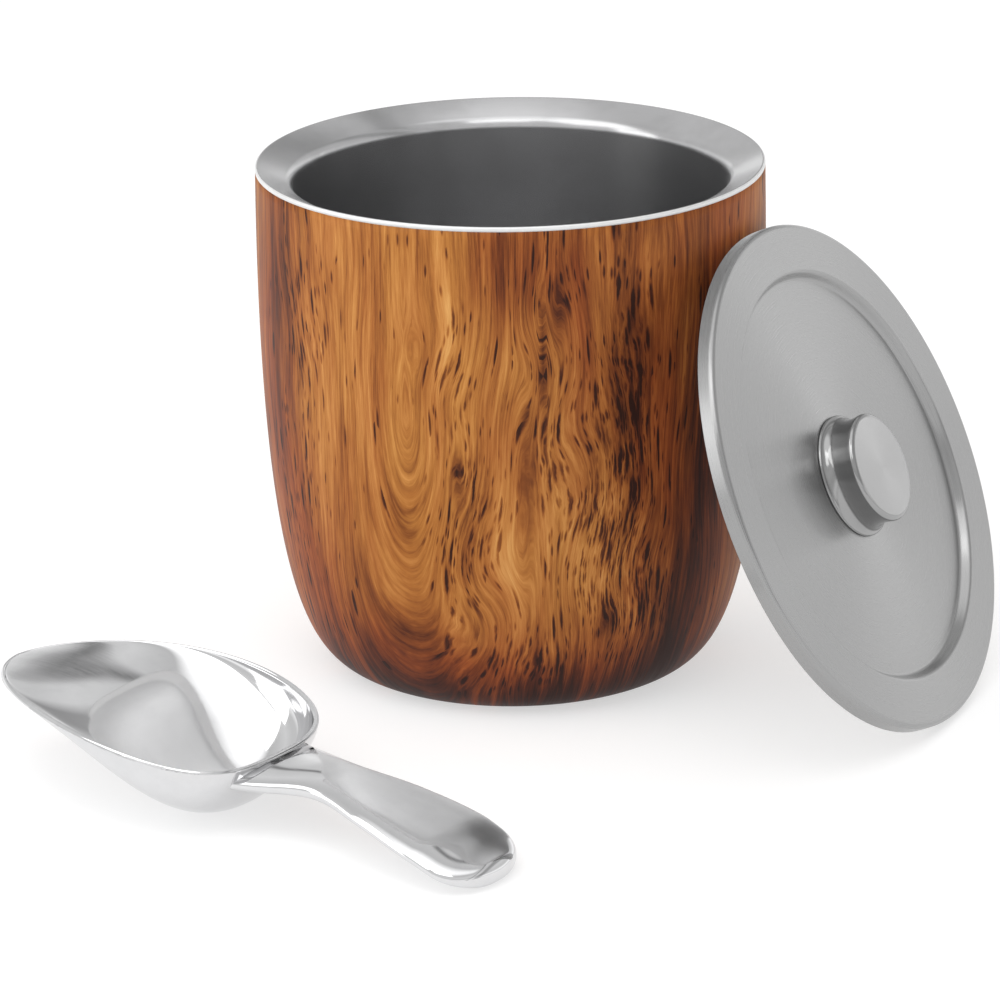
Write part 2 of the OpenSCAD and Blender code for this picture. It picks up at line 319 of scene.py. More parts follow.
def wood_print():
    """Teak and burl grain printed on steel under a satin lacquer.

    The shell's mesh carries the lie of the grain: figure counts across it, in metres, side tells left
    from right, tone is how light the wood is, with painted shade along the bottom, at the left edge and
    in the lid's cast shadow on the right, red how red, and slash is how thick the burl marks are.
    """
    g = Graph("wood_print")
    _, _, z = g.split(g.here())
    figure = g.attribute("figure", "Fac")
    side = g.attribute("side", "Fac")
    tone = g.attribute("tone", "Fac")
    red = g.attribute("red", "Fac")
    slash = g.attribute("slash", "Fac")

    def along(across_scale, up_scale, shift=0.0, sideways=0.0):
        """A point in grain space: fine across the grain, and drawn out along it."""
        place = g.math("MULTIPLY", figure, across_scale)
        if sideways:
            place = g.math("ADD", place, g.math("MULTIPLY", ripple, sideways))
        return g.join(
            place,
            g.math("MULTIPLY", z, up_scale),
            g.math("ADD", g.math("MULTIPLY", side, 2.0), shift),
        )

    # Sideways ripples, strongest where the wood is burled
    ripple = g.math("SUBTRACT", g.noise(along(170, 60, 3.0), 1.0, 4.0, 0.6), 0.5)
    ripple = g.math("MULTIPLY", ripple, g.fit(slash, 0.1, 0.9, 0.2, 1.0))
    broad = g.noise(along(55, 10), 1.0, 3.0, 0.55)
    streak = g.noise(along(260, 12, 5.0, 1.2), 1.0, 5.0, 0.7)
    thread = g.noise(along(800, 22, 11.0, 2.6), 1.0, 4.0, 0.75)
    fibre = g.noise(along(1900, 70, 9.0, 5.0), 1.0, 3.0, 0.7)

    # Growth lines: thin dark lines where the wood is calm
    phase = g.math("ADD", g.math("MULTIPLY", figure, 300.0), g.math("MULTIPLY", broad, 2.0))
    saw = g.math("ABSOLUTE", g.math("SUBTRACT", g.math("FRACT", phase), 0.5))
    uneven = g.noise(along(330, 22, 17.0), 1.0, 2.0, 0.6)
    growth = g.math("MULTIPLY", g.fit(saw, 0.0, 0.14, 1.0, 0.0), g.fit(uneven, 0.38, 0.62))
    growth = g.math("MULTIPLY", growth, g.fit(slash, 0.15, 0.7, 1.0, 0.1))

    # Light to dark: the placed tone, which holds painted shade, then broad bands, streaks, fibres and growth
    # lines
    lightness = tone
    for layer, amount in ((broad, 0.7), (streak, 0.95), (thread, 0.65), (fibre, 0.45)):
        lightness = g.math("ADD", lightness, g.math("MULTIPLY", g.math("SUBTRACT", layer, 0.5), amount))
    lightness = g.math("SUBTRACT", lightness, g.math("MULTIPLY", growth, 0.11))

    # Burl marks: narrow dark slots of two sizes, with golden wood round them
    slots, pick = g.cells(along(700, 80, 21.0, 2.6))
    chosen = g.fit(pick, g.math("SUBTRACT", 1.0, slash), 1.0, 0.0, 1.0, False)
    lens = g.math("MULTIPLY", g.fit(slots, 0.2, 0.5, 1.0, 0.0), g.fit(chosen, 0.0, 0.5))
    fine, pick_fine = g.cells(along(1150, 190, 37.0, 4.5))
    chosen_fine = g.fit(pick_fine, g.math("SUBTRACT", 1.0, slash), 1.0)
    lens_fine = g.math("MULTIPLY", g.fit(fine, 0.15, 0.55, 1.0, 0.0), g.fit(chosen_fine, 0.0, 0.4))
    marks = g.math("MAXIMUM", lens, g.math("MULTIPLY", lens_fine, 0.8))
    rims = g.math("MULTIPLY", g.fit(slots, 0.5, 0.8), g.math("MULTIPLY", slash, 0.14))
    lightness = g.math("ADD", lightness, rims)
    lightness = g.math("SUBTRACT", lightness, g.math("MULTIPLY", marks, 0.46))

    golden = g.ramp(lightness, list(zip(SHADE_STEPS, map(linear, GOLDEN))))
    reddish = g.ramp(lightness, list(zip(SHADE_STEPS, map(linear, REDDISH))))
    # The placed red, made uneven along the grain
    uneven_red = g.math("SUBTRACT", g.noise(along(90, 14, 41.0), 1.0, 3.0, 0.6), 0.5)
    uneven_red = g.math("MULTIPLY", uneven_red, 1.4)
    colour = g.mix(g.math("ADD", red, uneven_red, clamp=True), golden, reddish)

    g.set(Base_Color=colour, Specular_IOR_Level=0.13, Coat_Weight=0.03, Coat_Roughness=0.25)
    g.set(Roughness=g.fit(fibre, 0.2, 0.8, 0.42, 0.56))
    g.bump(g.math("ADD", fibre, marks), 0.02 * MM, 0.25)
    return g.material


def turned_steel(name, colour, roughness, grain, rings, dark, stretch, metallic=1.0):
    """Satin stainless steel turned on a lathe, with fine rings round its own axis."""
    g = Graph(name)
    x, y, z = g.split(g.attribute("local"))
    radius = g.math("SQRT", g.math("ADD", g.math("MULTIPLY", x, x), g.math("MULTIPLY", y, y)))
    angle = g.math("ARCTAN2", y, x)
    # A point that changes fast from ring to ring and slowly round each one
    ring_at = g.math("MULTIPLY", g.math("ADD", radius, z), rings)
    groove = g.noise(
        g.join(ring_at, g.math("MULTIPLY", g.math("SINE", angle), 3.0), g.math("COSINE", angle)),
        1.0,
        3.0,
        0.7,
    )
    cloud = g.noise(g.attribute("local"), 60.0, 3.0, 0.6)
    shade = g.fit(groove, 0.25, 0.75, 1.0 - 0.28 * grain, 1.0 + 0.22 * grain)
    tint = g.mix(1.0, linear(colour), g.join(shade, shade, shade), "MULTIPLY")
    if dark:
        tint = g.mix(g.fit(cloud, 0.35, 0.75, 0.0, 0.35), tint, linear(dark))
    g.set(Base_Color=tint, Metallic=metallic, Anisotropic=stretch, Anisotropic_Rotation=0.25)
    g.set(Roughness=g.fit(groove, 0.2, 0.8, roughness - 0.3 * grain, roughness + 0.4 * grain))
    tangent = g.tree.nodes.new("ShaderNodeTangent")
    tangent.direction_type = "UV_MAP"
    tangent.uv_map = "round"
    g.plug(g.shader.inputs["Tangent"], tangent.outputs[0])
    g.bump(groove, 0.02 * MM, grain)
    return g.material


def polished_steel():
    """Mirror-polished stainless steel with faint polishing waves and hairline scratches."""
    g = Graph("polished_steel")
    at = g.attribute("local")
    x, y, z = g.split(at)
    wave = g.noise(at, 45.0, 1.0, 0.4)
    hair = g.noise(g.join(g.math("MULTIPLY", x, 90.0), g.math("MULTIPLY", y, 2600.0), z), 1.0, 2.0)
    smudge = g.noise(at, 120.0, 4.0, 0.65)
    g.set(Base_Color=g.mix(g.fit(smudge, 0.4, 0.8, 0.0, 0.3), linear("DADADB"), linear("CBCBCD")))
    g.set(Metallic=1.0, Roughness=g.fit(g.math("ADD", smudge, hair), 0.7, 1.4, 0.045, 0.11))
    g.bump(g.math("ADD", wave, g.math("MULTIPLY", hair, 0.02)), 0.25 * MM, 0.5)
    return g.material


def plain_material(name, colours, roughness, scale, metallic=0.0, bump=0.03 * MM):
    """Two colours clouded together, with a grain that also roughens and dents the surface."""
    g = Graph(name)
    grain = g.noise(g.here(), scale, 4.0, 0.6)
    cloud = g.noise(g.here(), scale * 0.12, 2.0, 0.5)
    amount = g.math("ADD", g.math("MULTIPLY", grain, 0.5), g.math("MULTIPLY", cloud, 0.5))
    g.set(Base_Color=g.mix(g.fit(amount, 0.35, 0.65), linear(colours[0]), linear(colours[1])))
    g.set(Metallic=metallic, Roughness=g.fit(grain, 0.25, 0.75, roughness - 0.06, roughness + 0.06))
    g.bump(grain, bump, 0.5)
    return g.material


def round_uv(piece):
    """A UV map whose first axis runs round the piece's own axis, for the lie of the brushing."""
    mesh = piece.data
    local = np.zeros(len(mesh.vertices) * 3, np.float32)
    mesh.attributes["local"].data.foreach_get("vector", local)
    local = local.reshape(-1, 3)
    layer = mesh.uv_layers.new(name="round")
    turns = np.arctan2(local[:, 1], local[:, 0]) / (2 * math.pi)
    radius = np.hypot(local[:, 0], local[:, 1])
    uv = np.zeros((len(mesh.loops), 2), np.float32)
    for face in mesh.polygons:
        loops = list(face.loop_indices)
        corners = [mesh.loops[i].vertex_index for i in loops]
        u = turns[corners]
        if u.max() - u.min() > 0.5:
            u = np.where(u < 0, u + 1, u)
        uv[loops, 0] = u
        uv[loops, 1] = (radius[corners] + local[corners, 2]) * 10
    layer.data.foreach_set("uv", uv.ravel())


# ---- Bucket -------------------------------------------------------------------------------------

MOUTH_R = RIM_R - 11.7 * MM
MOUTH_FILLET = 4 * MM
RIM_SLOPE = 25.3
LINER_AROUND = 320
RIM_CROWN = 0.12 * MM
LIP_ROUND = 0.7 * MM
SHELL_WALL = 0.8 * MM
LINER_WALL = 0.7 * MM
LINER_FLOOR = 10 * MM
FOOT_R = 55.4 * MM
INNER_RING_R = 51 * MM
INNER_RING_ROUND = 1.5 * MM
INNER_RING_TOP = 3.4 * MM


def shell_side(steps):
    """The shell's outside, from its top edge down to the ring that it ends in."""
    return curve(
        (RIM_R, SHELL_TOP),
        (RIM_R + 2.7 * MM, 22.7 * MM),
        (FOOT_R + 11.2 * MM, 3.9 * MM),
        (FOOT_R, FOOT_LIFT),
        steps,
    )


def shell_outline():
    side = shell_side(150)
    ring = arc(
        (INNER_RING_R + INNER_RING_ROUND, FOOT_LIFT + INNER_RING_ROUND), INNER_RING_ROUND, 270, 180
    )
    path = side + ring + [np.array((INNER_RING_R, INNER_RING_TOP))]
    inner = beside(path, -SHELL_WALL)
    return path + inner[::-4] + [inner[0]]


def crowned(a, b, rise, steps):
    """Points between a and b on a shallow bow that stands proud of the straight line by rise."""
    out = (b - a) / np.linalg.norm(b - a)
    across = np.array((out[1], -out[0]))
    spots = [k / steps for k in range(1, steps)]
    return [a + (b - a) * f + across * rise * 4 * f * (1 - f) for f in spots]


def liner_path():
    """The liner's seen side from its rim to the middle of its floor, and its side in the vacuum."""
    fillet_x = MOUTH_R + MOUTH_FILLET
    slope = math.radians(RIM_SLOPE)
    start_x = RIM_R - LIP_ROUND
    end_x = fillet_x - MOUTH_FILLET * math.sin(slope)
    end_z = HEIGHT - (start_x - end_x) * math.tan(slope)
    fillet_z = end_z - MOUTH_FILLET * math.cos(slope)
    rim = [np.array((RIM_R, SHELL_TOP))]
    rim += arc((start_x, HEIGHT - LIP_ROUND), LIP_ROUND, 0, 90 + RIM_SLOPE, 10)
    fillet = arc((fillet_x, fillet_z), MOUTH_FILLET, 90 + RIM_SLOPE, 180, 14)
    rim += crowned(rim[-1], fillet[0], RIM_CROWN, 12) + fillet
    wall = curve(
        (MOUTH_R, fillet_z),
        (MOUTH_R + 3.2 * MM, 38 * MM),
        (MOUTH_R - 5.3 * MM, LINER_FLOOR),
        (MOUTH_R - 23.3 * MM, LINER_FLOOR),
        70,
    )
    path = held(without_repeats(rim + wall), long=4 * MM, closed=False)
    top = path + [np.array((20 * MM, LINER_FLOOR)), np.array((0.0, LINER_FLOOR))]
    under = beside(top, LINER_WALL)
    under[-1][0] = 0.0
    return top, under


def liner_outline():
    top, under = liner_path()
    return under[::-1] + top


# Patches of the print, as (degrees right of the front, height, half width in degrees, half height, amount).
# The last five tone patches are painted shade, and so is the red band along the bottom.
TONE_AND_SHADE_PATCHES = (
    (-40, 0.125, 12, 0.055, 0.17),
    (-36, 0.070, 12, 0.030, 0.10),
    (-18, 0.148, 5, 0.024, 0.06),
    (-22, 0.124, 1.6, 0.006, -0.12),
    (-13, 0.128, 3.2, 0.020, 0.20),
    (0, 0.152, 10, 0.016, -0.05),
    (1, 0.122, 4, 0.014, 0.24),
    (6.5, 0.124, 0.8, 0.016, -0.30),
    (10, 0.137, 1.8, 0.010, -0.32),
    (32, 0.150, 5, 0.009, 0.20),
    (-12.5, 0.083, 1.5, 0.008, -0.34),
    (2.6, 0.074, 1.8, 0.026, -0.18),
    (-3, 0.076, 3.4, 0.022, 0.18),
    (11, 0.072, 6, 0.024, 0.16),
    (24, 0.060, 6, 0.020, 0.08),
    (22, 0.032, 2.2, 0.006, -0.42),
    (26, 0.105, 8, 0.046, -0.32),
    (-14, 0.030, 6, 0.024, 0.05),
    # Painted shade: the lid's cast shadow on the right, the darker left edge, and the darkening along the
    # bottom and the lower sides
    (46, 0.090, 9, 0.080, -0.34),
    (-64, 0.090, 9, 0.090, -0.16),
    (0, 0.002, 80, 0.018, -0.50),
    (42, 0.030, 14, 0.026, -0.20),
    (-46, 0.035, 14, 0.026, -0.14),
)
RED_PATCHES = (
    (-70, 0.090, 14, 0.090, 0.75),
    (-56, 0.040, 10, 0.030, 0.35),
    (0, 0.152, 12, 0.020, 0.50),
    (14, 0.140, 6, 0.030, 0.40),
    (33, 0.095, 12, 0.050, 0.55),
    (56, 0.090, 14, 0.090, 0.85),
    # Painted shade: the redder band along the bottom
    (0, 0.008, 80, 0.018, 0.75),
    (-30, 0.020, 20, 0.020, 0.40),
    (-3, 0.095, 5, 0.020, 0.30),
)
BURL_PATCHES = (
    (-52, 0.120, 6, 0.040, 0.60),
    (-13, 0.118, 4, 0.024, 0.60),
    (-9, 0.070, 5, 0.026, 0.75),
    (9, 0.148, 5, 0.014, 0.40),
    (9, 0.090, 7, 0.022, 0.70),
    (25, 0.105, 7, 0.042, 1.00),
    (22, 0.062, 10, 0.022, 0.90),
    (-15, 0.030, 3, 0.026, 1.00),
    (2, 0.022, 14, 0.012, 0.70),
    (28, 0.040, 10, 0.016, 0.90),
    (-62, 0.060, 8, 0.030, 0.35),
)
# Where the grain runs aslant, as (degrees, height, half width in degrees, half height, slope)
LEANS = (
    (-8, 0.045, 9, 0.020, 0.55),
    (-14, 0.118, 5, 0.016, -0.35),
    (10, 0.110, 7, 0.016, -0.24),
    (14, 0.060, 7, 0.020, -0.20),
    (30, 0.042, 8, 0.016, 0.26),
    (4, 0.128, 4, 0.014, 0.40),
)
# The middle and the top of the nested arches, as (degrees, height), and how they spread
CATHEDRAL = (-24, 0.104)
ARCH_SHARE = 0.25
ARCH_HALF_TURN = 22
CALM_HALF_TURN = 13
SLOW_WAVE = 3 * MM
FAST_WAVE = 0.6 * MM
KNOT_HALF_TURN = 3
KNOT_PUSH = 3 * MM
BASE_TONE = 0.50
BASE_RED = 0.30
BASE_SLASH = 0.05


def patches(turn, height, items):
    """Sum of soft oval patches at each point."""
    total = np.zeros_like(turn)
    for centre, level, half_turn, half_height, amount in items:
        off = (turn - centre + 180) % 360 - 180
        total += amount * np.exp(-((off / half_turn) ** 2) - ((height - level) / half_height) ** 2)
    return total


def sway(turn, height, seed, waves=9, turns=9, rise=70.0):
    """Smooth random value that joins up round the bucket: a sum of waves with whole turns.

    Each wave has fewer than turns crests round the bucket, and leans by up to rise radians a metre.
    """
    rng = np.random.default_rng(seed)
    total = np.zeros_like(turn)
    for _ in range(waves):
        k = rng.integers(1, turns)
        climb = rng.uniform(-rise, rise) * height
        total += np.sin(np.radians(turn) * k + climb + rng.uniform(0, 6.3)) / waves**0.5
    return total


def near_spot(turn, height, centre, level, half_turn, half_height):
    """1 at a spot of the shell, falling off to 0 as a soft oval."""
    return np.exp(-(((turn - centre) / half_turn) ** 2) - ((height - level) / half_height) ** 2)


def grain_figure(turn, height, off):
    """How far across the grain each point of the shell lies, in metres."""
    across = np.radians(off) * RIM_R
    # Above its foot the grain runs straight up; below, the lines close into nested arches
    below = np.clip(CATHEDRAL[1] - height, 0, None) * ARCH_SHARE
    figure = np.sqrt(across**2 + below**2 * np.exp(-((off / ARCH_HALF_TURN) ** 2)))
    calm = 1 - 0.8 * np.exp(-((off / CALM_HALF_TURN) ** 2))
    figure += SLOW_WAVE * calm * sway(turn, height, 3)
    figure += FAST_WAVE * calm * sway(turn, height, 4, 12, 24, 160.0)
    for centre, level, half_turn, half_height, lean in LEANS:
        near = near_spot(turn, height, centre, level, half_turn, half_height)
        figure += lean * (height - level) * near
    # The grain parts round the small dark patches, as it does round a knot
    for centre, level, half_turn, half_height, amount in TONE_AND_SHADE_PATCHES:
        if half_turn < KNOT_HALF_TURN and amount < 0:
            knot = (turn - centre + 180) % 360 - 180
            near = near_spot(knot, height, 0, level, half_turn * 2.2, half_height * 1.6)
            figure -= KNOT_PUSH * np.tanh(knot / half_turn) * near
    return figure


def grain_fields(points):
    """figure, side, tone, red and slash for points of the shell; the tone holds painted shade too."""
    p = np.array(points)
    turn = np.degrees(np.arctan2(p[:, 0], -p[:, 1]))
    height = p[:, 2]
    off = (turn - CATHEDRAL[0] + 180) % 360 - 180
    # 1 on the side away from the photographed one, where the patches are random
    away = np.clip((np.abs(turn) - 75) / 25, 0, 1)
    # Lightness of the print, with painted shade along the bottom, at the left edge and in the lid's shadow
    # on the right
    tone = BASE_TONE + patches(turn, height, TONE_AND_SHADE_PATCHES) + away * 0.13 * sway(turn, height, 5, 8, 8, 60.0)
    red = BASE_RED + patches(turn, height, RED_PATCHES) + away * 0.20 * sway(turn, height, 8, 6, 6, 50.0)
    slash = BASE_SLASH + patches(turn, height, BURL_PATCHES)
    slash += away * (0.30 + 0.45 * sway(turn, height, 6, 10, 9, 90.0))
    return {
        "figure": grain_figure(turn, height, off),
        "side": np.sin(np.radians(off)),
        "tone": tone,
        "red": red,
        "slash": np.clip(slash, 0, 1.1),
    }


VACUUM_NODES = ("copper_foil", "base_plate", "getter_clip", "bottom_cover", "getter", "vacuum_seal")


def make_shell():
    shell = turned(
        "wood_shell", "bucket", shell_outline(), wood_print(), "outer_shell", 448
    )
    # The studio picture shows no wood mirrored in the scoop and the lid
    shell.visible_glossy = False
    for node in VACUUM_NODES:
        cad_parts[node].visible_glossy = False
    fields = grain_fields([v.co for v in shell.data.vertices])
    for name, values in fields.items():
        layer = shell.data.attributes.new(name, "FLOAT", "POINT")
        layer.data.foreach_set("value", values.astype(np.float32))


def make_liner():
    satin = turned_steel("liner_steel", "C0C0C1", 0.24, 0.035, 7000.0, "A4A4A4", 0.85, 0.95)
    outline = liner_outline()
    liner = turned("steel_liner", "bucket", outline, satin, "inner_liner", LINER_AROUND)
    round_uv(liner)
    # The side in the vacuum comes first in the outline and has a material of its own
    liner.data.materials.append(plain_material("liner_back", ("E4E4E4", "ECECEC"), 0.62, 300.0, 1.0, 0.0))
    back_rings = sum(1 for r, _ in liner_path()[1] if r > 0) - 1
    for face in liner.data.polygons[: back_rings * LINER_AROUND]:
        face.material_index = 1


def make_bucket():
    make_shell()
    make_liner()
    turned("pad", "bucket", pad_outline(), silicone(), "foot_pad", 192)


def pad_outline():
    """Foot pad with three shallow grooves moulded in its underside."""
    groove_at = [FOOT_PAD_R * f for f in (0.45, 0.66, 0.87)]
    half, depth, edge = 1.2 * MM, 0.35 * MM, 0.4 * MM
    low = [(0.0, 0.0)]
    for r in groove_at:
        low += [(r - half, 0.0), (r - half * 0.5, depth), (r + half * 0.5, depth), (r + half, 0.0)]
    low += [(FOOT_PAD_R - edge, 0.0), (FOOT_PAD_R, edge), (FOOT_PAD_R, FOOT_PAD_TOP)]
    return held([np.array(p) for p in low + [(0.0, FOOT_PAD_TOP)]], long=3 * MM, closed=False)


def silicone():
    return plain_material("silicone", ("58595B", "6A6B6D"), 0.62, 900.0)


# ---- Lid ----------------------------------------------------------------------------------------

LEAN = 65
LEAN_TURN = 26.9
LEAN_GAP = 0.5 * MM
LID_R = 81 * MM
LID_EDGE = 5.25 * MM
EDGE_ROUND = 1.6 * MM
STEP_OUT, STEP_IN = 66.2 * MM, 63 * MM
STEP_PULL = 1.6 * MM
SUNK = LID_EDGE - 3 * MM
COVER_WALL = 0.8 * MM
PLUG_R = 65 * MM
PLUG_DEPTH = 4.6 * MM
BASE_RING = 0.6 * MM
SEAL_R = 67.6 * MM
KNOB_FOOT_R, KNOB_WAIST_R, KNOB_TOP_R = 19.4 * MM, 16.5 * MM, 17.2 * MM
KNOB_HEIGHT = 11.2 * MM
KNOB_ROUND = 1.5 * MM
SCREW_HOLE_R = 2.1 * MM


def lid_place():
    """From the lid's own frame, with +Z out of its top, to where it leans."""
    up = LID_R * math.sin(math.radians(LEAN))
    out = RIM_R + LEAN_GAP + up / math.tan(math.radians(LEAN))
    return (
        Matrix.Rotation(math.radians(-LEAN_TURN), 4, "Z")
        @ Matrix.Translation((out, 0, up))
        @ Matrix.Rotation(math.radians(LEAN), 4, "Y")
    )


def cover_outline():
    step = curve(
        (STEP_IN, SUNK),
        (STEP_IN + STEP_PULL, SUNK),
        (STEP_OUT - STEP_PULL, LID_EDGE),
        (STEP_OUT, LID_EDGE),
        24,
    )
    edge = arc((LID_R - EDGE_ROUND, LID_EDGE - EDGE_ROUND), EDGE_ROUND, 90, 0, 10)
    path = [np.array((SCREW_HOLE_R, SUNK))] + step + edge + [np.array((LID_R, 0.0))]
    path = held(without_repeats(path), long=3 * MM, closed=False)
    return sheet(path, 0, -COVER_WALL)


def lid_base_outline():
    rim_r = LID_R - COVER_WALL - 0.15 * MM
    wall = COVER_WALL
    bend = 1 * MM
    corner = arc((PLUG_R - bend, bend - PLUG_DEPTH), bend, 270, 360, 8)
    # A ring pressed up into the flat underside
    bead_r, bead_half, bead_rise = 40 * MM, 1.5 * MM, 0.45 * MM
    bead = [
        (bead_r - bead_half, -PLUG_DEPTH),
        (bead_r, bead_rise - PLUG_DEPTH),
        (bead_r + bead_half, -PLUG_DEPTH),
    ]
    path = [(0.0, -PLUG_DEPTH), *bead, *corner, (PLUG_R, BASE_RING), (rim_r, BASE_RING)]
    back = [
        (rim_r, BASE_RING + wall),
        (PLUG_R - wall, BASE_RING + wall),
        (PLUG_R - wall, wall - PLUG_DEPTH),
        (0.0, wall - PLUG_DEPTH),
    ]
    return held([np.array(p) for p in path + back], long=3 * MM, closed=False)


def lid_seal_outline():
    fit, body = PLUG_R + 0.1 * MM, PLUG_R + 1.4 * MM
    low = 1.3 * MM - PLUG_DEPTH
    lip_low = arc((SEAL_R - 0.3 * MM, 2.4 * MM - PLUG_DEPTH), 0.2 * MM, -90, 90, 6)
    lip_high = arc((SEAL_R - 0.3 * MM, -0.3 * MM), 0.2 * MM, -90, 90, 6)
    top = BASE_RING - 0.1 * MM
    return [
        np.array(p)
        for p in [(fit, low), (body, low + 0.2 * MM), *lip_low, (body, 2.6 * MM - PLUG_DEPTH)]
        + [(body, -0.9 * MM), *lip_high, (body, top), (fit, top)]
    ]


def knob_outline():
    low = arc((KNOB_FOOT_R - 0.4 * MM, 0.4 * MM), 0.4 * MM, -90, 60, 8)
    side = curve(
        (KNOB_FOOT_R - 0.1 * MM, 0.85 * MM),
        (KNOB_WAIST_R + 0.4 * MM, 1.6 * MM),
        (KNOB_WAIST_R - 0.2 * MM, 5 * MM),
        (KNOB_TOP_R, KNOB_HEIGHT - KNOB_ROUND),
        30,
    )
    cap = arc((KNOB_TOP_R - KNOB_ROUND, KNOB_HEIGHT - KNOB_ROUND), KNOB_ROUND, 0, 90, 10)
    path = [np.array((0.0, 0.0))] + low + side + cap + [np.array((0.0, KNOB_HEIGHT))]
    path = held(without_repeats(path), long=3 * MM, closed=False)
    return [p + np.array((0, SUNK)) for p in path]


def make_lid():
    place = lid_place()
    brushed = turned_steel("lid_brushed", "A0A0A0", 0.28, 0.08, 5200.0, None, 0.82)
    satin = turned_steel("lid_base_satin", "B6B6B6", 0.34, 0.2, 6000.0, "A0A0A0", 0.3)
    bright = turned_steel("knob_steel", "9C9C9C", 0.16, 0.1, 5200.0, None, 0.4)
    soft = plain_material("seal_silicone", ("C9CCCB", "DADDDC"), 0.5, 700.0)
    for name, outline, material, slot, node, around in (
        ("lid_top", cover_outline(), brushed, "lid_steel", "lid_cover", 320),
        ("lid_under", lid_base_outline(), satin, "lid_base_steel", "lid_base", 256),
        ("lid_knob", knob_outline(), bright, "knob_steel", "knob", 192),
        ("soft_seal", lid_seal_outline(), soft, "seal_silicone", "lid_seal", 256),
    ):
        piece = turned(name, "lid", outline, material, node, around, place)
        if material is not soft:
            round_uv(piece)


# ---- Scoop --------------------------------------------------------------------------------------

SCOOP_AT = Vector((-5.4 * MM, -189.9 * MM, 0))
SCOOP_TURN = 142.8
SCOOP_WALL = 1.6 * MM
BOWL_START, BOWL_LENGTH, BOWL_HALF, BOWL_DEPTH = 83 * MM, 102 * MM, 36.3 * MM, 23.6 * MM
RIM_BACK, RIM_LIP, RIM_ARCH = 20.9 * MM, 29.2 * MM, 4.6 * MM
BOWL_POWERS = (0.33, 0.58)
DEPTH_POWERS = (0.95, 3.57)
FLOOR_AT = 0.2
HANDLE_THICK = 6.9 * MM
TIP_LENGTH, TIP_ROUND = 12.5 * MM, 3 * MM
KEY_GAP = 20 * MM
HANDLE_KEYS = np.array([(17, 3.6), (18, 9.4), (15.2, 14.1), (11.7, 17), (17, 16), (22, 15)]) * MM
ROOT_AT = 84.1 * MM
ROOT_SLANT, ROOT_CUP = 0.513, 6.1
SQUARENESS = 2.4


def scoop_place():
    return Matrix.Translation(SCOOP_AT) @ Matrix.Rotation(math.radians(SCOOP_TURN), 4, "Z")


def hump(s, powers):
    p, q = powers
    top = p / (p + q)
    return (s / top) ** p * ((1 - s) / (1 - top)) ** q


def hump_rate(s, powers):
    return powers[0] / s - powers[1] / (1 - s)


def bowl_point(turn, out):
    """A point of the bowl's inside and the unit vector out of the metal's underside there."""
    s_rim = (1 - math.cos(turn)) / 2
    side = 1 if turn < math.pi else -1
    s = FLOOR_AT + (s_rim - FLOOR_AT) * out
    y = BOWL_HALF * hump(s_rim, BOWL_POWERS) * side * out
    half = BOWL_HALF * hump(s, BOWL_POWERS)
    deep = BOWL_DEPTH * hump(s, DEPTH_POWERS)
    k = 1.0 if out > 0.9999 else min(abs(y) / half, 1.0)
    q = math.sqrt(1 - k * k)
    rim = RIM_BACK + (RIM_LIP - RIM_BACK) * s + 4 * RIM_ARCH * s * (1 - s)
    point = Vector((BOWL_START + BOWL_LENGTH * s, y, rim - deep * q))
    if k == 1.0:
        down = Vector((-hump_rate(s, BOWL_POWERS) * half / BOWL_LENGTH, side, 0))
    else:
        rim_rate = RIM_LIP - RIM_BACK + 4 * RIM_ARCH * (1 - 2 * s)
        fall = deep * (hump_rate(s, DEPTH_POWERS) * q * q + hump_rate(s, BOWL_POWERS) * k * k)
        down = Vector(((rim_rate * q - fall) / BOWL_LENGTH, side * deep * k / half, -q))
    return point, down.normalized()


def bowl_mesh(around=224, rings=56, edge_steps=6):
    """Rings from the floor up the inside, over the rounded rim, and down the outside."""
    turns = [2 * math.pi * (i + 0.5) / around for i in range(around)]
    outs = [math.sin(math.pi / 2 * j / rings) for j in range(1, rings + 1)]
    inside, outside = [], []
    for out in outs:
        pairs = [bowl_point(t, out) for t in turns]
        inside.append([p for p, _ in pairs])
        outside.append([p + d * SCOOP_WALL for p, d in pairs])
    dip = SCOOP_WALL * 0.45
    edge = []
    for step in range(1, edge_steps):
        f = step / edge_steps
        low = dip * (1 - math.sin(math.pi * f))
        edge.append([a.lerp(b, f) - Vector((0, 0, low)) for a, b in zip(inside[-1], outside[-1])])
    for ring in (inside, outside):
        for p in ring[-1]:
            p.z -= dip
    loops = inside + edge + outside[::-1]
    low = bowl_point(0.01, 0)[0]
    points = [p for loop in loops for p in loop] + [low, low - Vector((0, 0, SCOOP_WALL))]
    faces = []
    for j in range(len(loops) - 1):
        for i in range(around):
            n = (i + 1) % around
            faces.append((j * around + i, j * around + n, (j + 1) * around + n, (j + 1) * around + i))
    last = (len(loops) - 1) * around
    for i in range(around):
        n = (i + 1) % around
        faces.append((len(points) - 2, n, i))
        faces.append((len(points) - 1, last + i, last + n))
    return points, faces


def along_keys(x, column):
    """Smooth value through the handle's keys."""
    f = x / KEY_GAP
    i = int(math.floor(f))
    t = f - i
    last = len(HANDLE_KEYS) - 1
    a, b, c, d = (HANDLE_KEYS[min(abs(k), last)][column] for k in range(i - 1, i + 3))
    bend = (2 * a - 5 * b + 4 * c - d) * t * t + (3 * b - a - 3 * c + d) * t**3
    return 0.5 * (2 * b + (c - a) * t + bend)


def rounded_end(x, reach):
    return 1.0 if x >= reach else math.sqrt(1 - (1 - x / reach) ** 2)


def powered(v, p):
    return math.copysign(abs(v) ** p, v)


